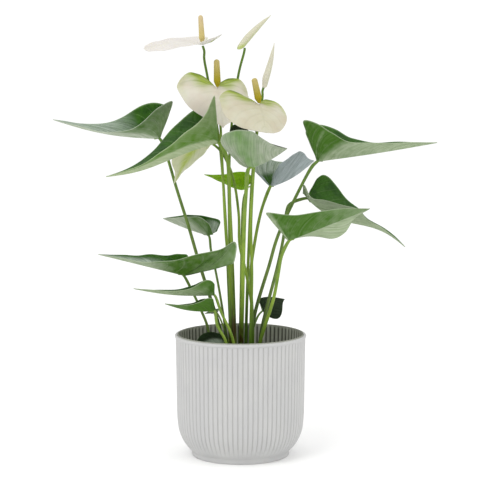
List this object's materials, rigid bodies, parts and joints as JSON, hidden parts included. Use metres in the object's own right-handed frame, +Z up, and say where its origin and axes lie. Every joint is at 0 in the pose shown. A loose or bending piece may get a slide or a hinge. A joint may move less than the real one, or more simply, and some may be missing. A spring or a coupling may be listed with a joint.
{
  "type": "potted anthurium plant",
  "caption": "Potted anthurium: pointed heart-shaped leaves and white blooms with yellow spadices on long stalks, in a round ribbed white pot with a flat foot.",
  "frame": {"origin": "centre of the pot's foot, on the surface the pot stands on", "axes": "+Z up along the pot's axis; -Y towards the viewer of the picture, +X to the viewer's right"},
  "size_m": [0.4112, 0.1913, 0.4672],
  "materials": {
    "pot_plastic": "moulded, matt",
    "black_plastic": "thin moulded",
    "potting_soil": "loose, dull",
    "leaf": "waxy green leaf with pale underside",
    "stalk": "smooth green stem",
    "spathe": "waxy cream white",
    "spadix": "bumpy, yellow"
  },
  "bodies": {
    "root": {"pot": "pot_plastic", "grow_pot": "black_plastic", "soil": "potting_soil", "leaf_01": "leaf", "leaf_02": "leaf", "leaf_03": "leaf", "leaf_04": "leaf", "leaf_05": "leaf", "leaf_06": "leaf", "leaf_07": "leaf", "leaf_08": "leaf", "leaf_09": "leaf", "leaf_10": "leaf", "leaf_11": "leaf", "leaf_12": "leaf", "leaf_13": "leaf", "leaf_14": "leaf", "leaf_15": "leaf", "bloom_1_stalk": "stalk", "bloom_1_spathe": "spathe", "bloom_1_spadix": "spadix", "bloom_2_stalk": "stalk", "bloom_2_spathe": "spathe", "bloom_2_spadix": "spadix", "bloom_3_stalk": "stalk", "bloom_3_spathe": "spathe", "bloom_3_spadix": "spadix", "bloom_4_stalk": "stalk", "bloom_4_spathe": "spathe", "bloom_4_spadix": "spadix", "bloom_5_stalk": "stalk", "bloom_5_spathe": "spathe", "bloom_5_spadix": "spadix", "bloom_6_stalk": "stalk", "bloom_6_spathe": "spathe", "bloom_6_spadix": "spadix"}
  },
  "joints": []
}
